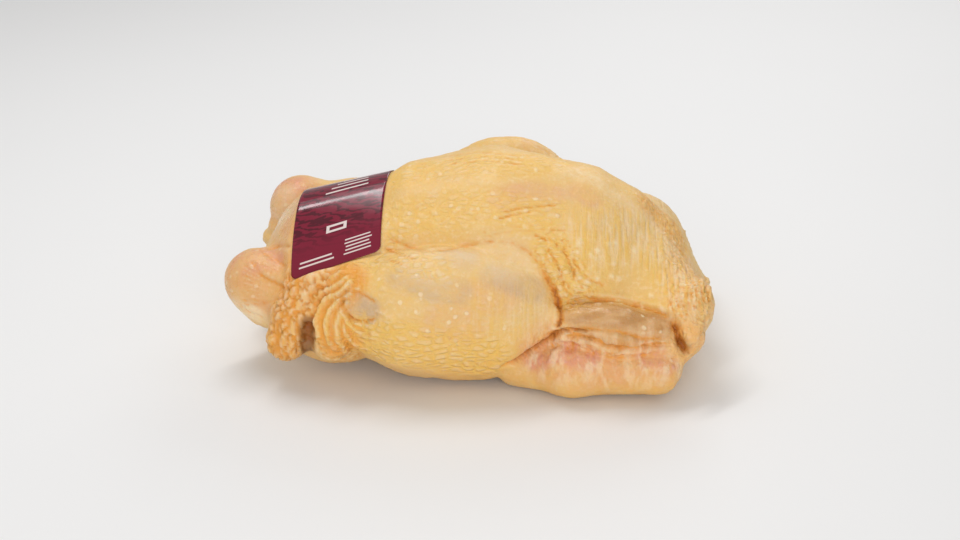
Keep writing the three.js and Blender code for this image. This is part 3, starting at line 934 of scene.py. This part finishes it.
class Graph:
    """A material's node tree, built with short calls."""

    def __init__(self, name):
        self.material = bpy.data.materials.new(name)
        self.material.use_nodes = True
        self.tree = self.material.node_tree
        self.shader = self.tree.nodes["Principled BSDF"]

    def feed(self, socket, value):
        if isinstance(value, bpy.types.NodeSocket):
            self.tree.links.new(value, socket)
        elif isinstance(value, tuple) and len(value) == 3 and socket.type == "RGBA":
            socket.default_value = (*value, 1)
        else:
            socket.default_value = value

    def node(self, kind, *numbered, **named):
        """A node with its first inputs fed in order and others by name."""
        made = self.tree.nodes.new(kind)
        for key, value in [*enumerate(numbered), *named.items()]:
            self.feed(made.inputs[key], value)
        return made

    def math(self, operation, a, b=0.5, clamp=False):
        made = self.node("ShaderNodeMath", a, b)
        made.operation = operation
        made.use_clamp = clamp
        return made.outputs[0]

    def times(self, a, b):
        return self.math("MULTIPLY", a, b, clamp=True)

    def set_shader(self, values):
        for name, value in values.items():
            self.feed(self.shader.inputs[name], value)

    def mix(self, factor, a, b):
        made = self.node("ShaderNodeMix")
        made.data_type = "RGBA"
        self.feed(made.inputs[0], factor)
        self.feed(made.inputs[6], a)
        self.feed(made.inputs[7], b)
        return made.outputs[2]

    def ramp(self, value, low, high, start=0.0, end=1.0):
        made = self.node("ShaderNodeMapRange", value, low, high, start, end)
        made.interpolation_type = "SMOOTHSTEP"
        return made.outputs[0]

    def layer(self, name):
        """The four channels of a colour layer."""
        made = self.node("ShaderNodeAttribute")
        made.attribute_name = name
        split = self.node("ShaderNodeSeparateColor", Color=made.outputs["Color"])
        return *split.outputs[:3], made.outputs["Alpha"]

    def noise(self, place, scale, detail=3.0, roughness=0.55):
        settings = {"Scale": scale, "Detail": detail, "Roughness": roughness}
        return self.node("ShaderNodeTexNoise", Vector=place, **settings).outputs["Fac"]

    def stretched(self, place, scale):
        return self.node("ShaderNodeMapping", Vector=place, Scale=scale).outputs["Vector"]

    def warped(self, place, scale, reach):
        """Places moved about by noise, for lines that wander."""
        noise = self.node("ShaderNodeTexNoise", Vector=place, Scale=scale, Detail=2.0)
        made = self.node("ShaderNodeVectorMath")
        made.operation = "MULTIPLY_ADD"
        self.feed(made.inputs[0], noise.outputs["Color"])
        made.inputs[1].default_value = (reach, reach, reach)
        self.feed(made.inputs[2], place)
        return made.outputs["Vector"]

    def net(self, place, high):
        """0 along the lines between cells, 1 on the cells."""
        made = self.node("ShaderNodeTexVoronoi", Vector=place, Scale=1.0)
        made.feature = "DISTANCE_TO_EDGE"
        return self.ramp(made.outputs["Distance"], 0.0, high)

    def cells(self, place, scale):
        made = self.node("ShaderNodeTexVoronoi", Vector=place, Scale=scale)
        return made.outputs["Distance"]

    def bump(self, height, distance, strength, normal=None):
        made = self.node("ShaderNodeBump", Height=height, Distance=distance, Strength=strength)
        if normal is not None:
            self.feed(made.inputs["Normal"], normal)
        return made.outputs["Normal"]


# Skin colours, linear
CREAM = (0.79, 0.53, 0.225)
YELLOW = (0.80, 0.51, 0.165)
YOLK = (0.86, 0.52, 0.10)
PALE_RIDGE = (0.90, 0.70, 0.44)
ORANGE_SKIN = (0.80, 0.39, 0.085)
PINK_FLESH = (0.74, 0.34, 0.22)
GREY_FLESH = (0.62, 0.42, 0.24)
WING_FLESH = (0.48, 0.225, 0.075)
WING_SHINE = (0.61, 0.345, 0.155)
# Orange of fat in folds, also painted as shade in creases and in the lines between lumps
FAT_AND_CREASE_SHADE = (0.80, 0.315, 0.03)
# Painted shade deep in wide hollows and grooves
DEEP_SHADE = (0.36, 0.095, 0.010)
# Painted shade for the gap behind loose skin, under the flap tip and low on the hanging skin
SHADE_IN_HOLLOWS = (0.17, 0.05, 0.012)
SPOT_SKIN = (0.93, 0.76, 0.50)


def skin_material():
    g = Graph("chicken_skin")
    place = g.node("ShaderNodeTexCoord").outputs["Object"]
    orange, pink, grey, pale = g.layer("tint")
    crease, spots, wet, painted_shade = g.layer("relief")
    streaks, yolk, flesh, deep = g.layer("tone_and_deep_shade")
    rows, lumps, bands, dotted = g.layer("gather")
    broad = g.noise(place, 28, 3)
    blotch = g.noise(place, 110, 4, 0.6)
    grain = g.noise(place, 420, 3, 0.6)
    fine = g.noise(place, 900, 3, 0.6)
    combed = g.noise(g.stretched(place, (560, 70, 50)), 1.0, 2, 0.4)
    wandering = g.warped(place, 70, 0.004)
    row_net = g.net(g.stretched(wandering, (150, 300, 300)), 0.30)
    lump_net = g.net(g.stretched(wandering, (300, 300, 240)), 0.40)
    fibre = g.noise(g.stretched(wandering, (50, 260, 260)), 1.0, 2, 0.4)
    band_noise = g.noise(g.stretched(wandering, (220, 70, 90)), 1.0, 3, 0.5)
    dots = g.times(dotted, g.ramp(g.cells(wandering, 165), 0.13, 0.26, 1, 0))
    row_lines = g.times(rows, g.math("SUBTRACT", 1.0, row_net))
    lump_lines = g.times(lumps, g.math("SUBTRACT", 1.0, lump_net))
    breakup = g.ramp(blotch, 0.35, 0.65, 0.5, 1.2)
    muscle = g.mix(g.ramp(fibre, 0.36, 0.66), WING_FLESH, WING_SHINE)
    colour = CREAM
    for amount, share, tone in (
        (1.0, g.ramp(broad, 0.35, 0.68), YELLOW),
        (yolk, g.ramp(grain, 0.3, 0.65, 0.2, 0.9), YOLK),
        (1.0, g.ramp(blotch, 0.50, 0.74, 0, 0.30), PALE_RIDGE),
        (1.0, g.ramp(grain, 0.50, 0.72, 0, 0.36), PALE_RIDGE),
        (1.0, g.ramp(grain, 0.50, 0.30, 0, 0.30), YOLK),
        (orange, breakup, ORANGE_SKIN),
        (pink, breakup, PINK_FLESH),
        (grey, breakup, GREY_FLESH),
        (pale, breakup, PALE_RIDGE),
        (flesh, 0.85, muscle),
        (rows, g.ramp(row_net, 0.4, 1, 0, 0.22), PALE_RIDGE),
        (row_lines, 0.5, YOLK),
        (dots, 0.6, SPOT_SKIN),
        (lump_lines, 0.5, FAT_AND_CREASE_SHADE),
        (bands, g.ramp(band_noise, 0.44, 0.62, 0, 0.6), PALE_RIDGE),
        (spots, g.ramp(grain, 0.3, 0.6, 0.35, 0.75), SPOT_SKIN),
        (streaks, g.ramp(combed, 0.5, 0.66, 0, 0.5), YOLK),
        (streaks, g.ramp(combed, 0.5, 0.34, 0, 0.4), PALE_RIDGE),
        (1.0, g.ramp(fine, 0.46, 0.30, 0, 0.15), FAT_AND_CREASE_SHADE),
        # The next three mixes paint shade: in creases, in hollows and the gap, and deep in wide hollows
        (crease, 0.85, FAT_AND_CREASE_SHADE),
        (painted_shade, 0.9, SHADE_IN_HOLLOWS),
        (deep, 0.9, DEEP_SHADE),
    ):
        colour = g.mix(g.times(amount, share), colour, tone)
    normal = None
    for height, distance, strength in (
        (fine, 0.0004, 0.6),
        (g.times(combed, streaks), 0.0010, 0.8),
        (g.cells(place, 420), 0.0005, 0.35),
        (g.math("SUBTRACT", 1.0, row_lines), 0.0008, 0.6),
        (dots, 0.0004, 0.6),
        (g.math("SUBTRACT", 1.0, lump_lines), 0.0008, 0.8),
    ):
        normal = g.bump(height, distance, strength, normal)
    g.set_shader({
        "Base Color": colour,
        "Roughness": g.math("SUBTRACT", g.ramp(grain, 0.3, 0.7, 0.38, 0.52), g.times(wet, 0.18)),
        "Normal": normal,
        "Subsurface Weight": 0.15,
        "Subsurface Radius": (1.0, 0.42, 0.16),
        "Subsurface Scale": 0.0025,
        "IOR": 1.38,
        "Coat Weight": 0.05,
        "Coat Roughness": 0.22,
    })
    return g.material


def make_bird(shift):
    skin = build_skin()
    places = Places(skin)
    depth, glow = fold_skin(skin, places)
    masks = skin_masks(skin, places)
    spots, gaps = wrinkle_skin(skin, masks)
    layers = skin_colours(skin, masks, spots, gaps, depth, glow)
    piece = mesh_object("chicken_skin", to_frame(skin.points, shift), skin.quads)
    for name, values in zip(("tint", "relief", "tone_and_deep_shade", "gather"), layers):
        add_colours(piece.data, name, values)
    piece.data.materials.append(skin_material())
    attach(piece, "root")
    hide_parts("chicken")


# Label

def label_rows(count):
    """Heights up the label, closer together at its rounded corners."""
    steps = 5
    corner = [LABEL_CORNER * (1 - math.cos(i / steps * math.pi / 2)) for i in range(steps)]
    straight = LABEL_LENGTH - 2 * LABEL_CORNER
    middle = [LABEL_CORNER + straight * i / count for i in range(count + 1)]
    return corner + middle + [LABEL_LENGTH - s for s in reversed(corner)]


def corner_inset(s):
    """How far the label's side is drawn in at a row, for the rounded corner."""
    to_end = min(s, LABEL_LENGTH - s)
    if to_end >= LABEL_CORNER:
        return 0.0
    return LABEL_CORNER - math.sqrt(LABEL_CORNER ** 2 - (LABEL_CORNER - to_end) ** 2)


def label_mesh(columns, row_count):
    """Thin closed sheet with rounded corners, and its flat coordinates in millimetres."""
    rows = label_rows(row_count)
    points, flat = [], []
    for height in (0.0, LABEL_THICKNESS):
        for s in rows:
            inset = corner_inset(s) / LABEL_WIDTH
            for i in range(columns + 1):
                u = inset + (1 - 2 * inset) * i / columns
                points.append(label_point(u, s, height))
                flat.append((u * LABEL_WIDTH, s))
    layer = len(rows) * (columns + 1)

    faces = []

    def face(*corners):
        """A face through corners given as row, column, and 1 for the upper sheet."""
        faces.append([up * layer + row * (columns + 1) + column for row, column, up in corners])

    for row in range(len(rows) - 1):
        for i in range(columns):
            face((row, i, 0), (row + 1, i, 0), (row + 1, i + 1, 0), (row, i + 1, 0))
            face((row, i, 1), (row, i + 1, 1), (row + 1, i + 1, 1), (row + 1, i, 1))
        face((row, 0, 0), (row, 0, 1), (row + 1, 0, 1), (row + 1, 0, 0))
        face((row, columns, 0), (row + 1, columns, 0), (row + 1, columns, 1), (row, columns, 1))
    end = len(rows) - 1
    for i in range(columns):
        face((0, i, 0), (0, i + 1, 0), (0, i + 1, 1), (0, i, 1))
        face((end, i, 0), (end, i, 1), (end, i + 1, 1), (end, i + 1, 0))
    return np.array(points), np.array(flat), faces


# Label print, as (middle across, middle up, half width, half height) in millimetres
SMALL_BARS = (
    [(13.0 - 0.3 * (i % 2), 4.6 + 2.3 * i, 9.0 - 0.8 * i, 0.45) for i in range(2)]
    + [(34.0 + 0.3 * (i % 2), 4.4 + 1.9 * i, 7.0 - 0.5 * (i % 3), 0.35) for i in range(5)]
)
EMBLEM = (22.5, 21.0, 5.2, 2.1)
EMBLEM_CORE = (22.5, 21.0, 3.6, 0.9)
TITLE_BARS = [(25.0 + 0.8 * i, 44.0 + 3.6 * i, 11.0 - 1.5 * i, 0.55) for i in range(4)]

LABEL_RED = (0.195, 0.006, 0.026)
LABEL_DARK = (0.045, 0.001, 0.007)
LABEL_INK = (0.80, 0.70, 0.66)
FLAT_UNIT = 100


def box_mask(g, across, up, box):
    """1 inside a rectangle on the label, with soft edges."""
    outside = [
        g.math("SUBTRACT", g.math("ABSOLUTE", g.math("SUBTRACT", place, middle)), half)
        for place, middle, half in zip((across, up), box[:2], box[2:])
    ]
    return g.ramp(g.math("MAXIMUM", *outside), -0.08, 0.08, 1.0, 0.0)


def label_material():
    g = Graph("label_print")
    flat = g.node("ShaderNodeUVMap")
    flat.uv_map = "flat"
    split = g.node("ShaderNodeSeparateXYZ", Vector=flat.outputs["UV"])
    across = g.math("MULTIPLY", split.outputs["X"], FLAT_UNIT)
    up = g.math("MULTIPLY", split.outputs["Y"], FLAT_UNIT)
    place = g.node("ShaderNodeCombineXYZ", X=across, Y=up).outputs["Vector"]
    wave = g.node("ShaderNodeTexWave", Vector=g.stretched(place, (0.5, 1.3, 1.0)), Scale=0.12)
    wave.bands_direction = "DIAGONAL"
    for name, number in (("Distortion", 11.0), ("Detail", 3.0), ("Detail Scale", 1.4)):
        wave.inputs[name].default_value = number
    strokes = g.ramp(wave.outputs["Fac"], 0.15, 0.6, 0.75, 0.0)
    fade = g.ramp(up, 8, 26)
    colour = g.mix(g.times(strokes, fade), LABEL_RED, LABEL_DARK)
    ink = box_mask(g, across, up, EMBLEM)
    ink = g.math("SUBTRACT", ink, box_mask(g, across, up, EMBLEM_CORE), clamp=True)
    for bar in SMALL_BARS + TITLE_BARS:
        ink = g.math("MAXIMUM", ink, box_mask(g, across, up, bar))
    coordinates = g.node("ShaderNodeTexCoord").outputs["Object"]
    g.set_shader({
        "Base Color": g.mix(g.times(ink, 0.9), colour, LABEL_INK),
        "Roughness": g.ramp(g.noise(coordinates, 60), 0.3, 0.7, 0.12, 0.2),
        "Normal": g.bump(g.noise(coordinates, 45, 2), 0.0012, 0.25),
        "Specular IOR Level": 0.4,
        "Coat Weight": 0.2,
        "Coat Roughness": 0.08,
    })
    return g.material


def make_label():
    """The printed label. Also gives the move from bird millimetres to the frame."""
    points, flat, faces = label_mesh(40, 70)
    low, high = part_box("label")
    middle = np.array([(low.x + high.x) / 2, (low.y + high.y) / 2]) / MM
    shift = np.append(middle - (points[:, :2].min(0) + points[:, :2].max(0)) / 2, 0.0)
    piece = mesh_object("label_print", to_frame(points, shift), faces)
    uv = piece.data.uv_layers.new(name="flat")
    corners = np.zeros(len(piece.data.loops), dtype=np.int32)
    piece.data.loops.foreach_get("vertex_index", corners)
    uv.data.foreach_set("uv", (flat[corners] / FLAT_UNIT).ravel())
    piece.data.materials.append(label_material())
    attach(piece, "root")
    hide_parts("label")
    return shift


# Floor, light and camera

LIGHT_AIM = Vector((0, 0, 0.05))


def plain_material(name, colour, roughness):
    g = Graph(name)
    place = g.node("ShaderNodeTexCoord").outputs["Object"]
    darker = tuple(0.97 * c for c in colour)
    g.set_shader({"Base Color": g.mix(g.noise(place, 3), colour, darker), "Roughness": roughness})
    return g.material


def make_floor():
    half = 4.0
    points = [(-half, -half, 0), (half, -half, 0), (half, half, 0), (-half, half, 0)]
    floor = mesh_object("floor", points, [(0, 1, 2, 3)])
    floor.data.materials.append(plain_material("pale_floor", (0.86, 0.86, 0.86), 0.6))


def area_light(name, place, size, power):
    light = bpy.data.lights.new(name, "AREA")
    light.shape = "RECTANGLE"
    light.size, light.size_y = size
    light.energy = power
    lamp = bpy.data.objects.new(name, light)
    lamp.location = place
    lamp.rotation_euler = (LIGHT_AIM - Vector(place)).to_track_quat("-Z", "Y").to_euler()
    scene.collection.objects.link(lamp)


def make_lights():
    world = bpy.data.worlds.new("studio")
    world.use_nodes = True
    background = world.node_tree.nodes["Background"].inputs
    background["Color"].default_value = (1.0, 0.99, 0.98, 1)
    background["Strength"].default_value = 0.5
    scene.world = world
    area_light("key", (-0.25, 0.2, 0.95), (0.6, 0.45), 1.3)
    area_light("strip", (-0.2, 0.2, 0.95), (0.7, 0.10), 2.4)
    area_light("front", (0.1, -1.2, 0.45), (1.0, 0.5), 5.9)
    area_light("back", (0.4, 1.0, 0.7), (0.8, 0.5), 2.6)


def make_camera(shift):
    right, up, forward = camera_axes()
    data = bpy.data.cameras.new("camera")
    data.sensor_width = SENSOR_WIDTH
    data.lens = SENSOR_WIDTH * FOCAL_PIXELS / PHOTO_WIDTH
    camera = bpy.data.objects.new("camera", data)
    turn = Matrix((right, up, -forward)).transposed().to_4x4()
    camera.matrix_world = Matrix.Translation(Vector(to_frame(camera_place(), shift))) @ turn
    scene.collection.objects.link(camera)
    scene.camera = camera


scene.view_settings.view_transform = "Standard"
frame_shift = make_label()
make_bird(frame_shift)
make_floor()
make_lights()
make_camera(frame_shift)
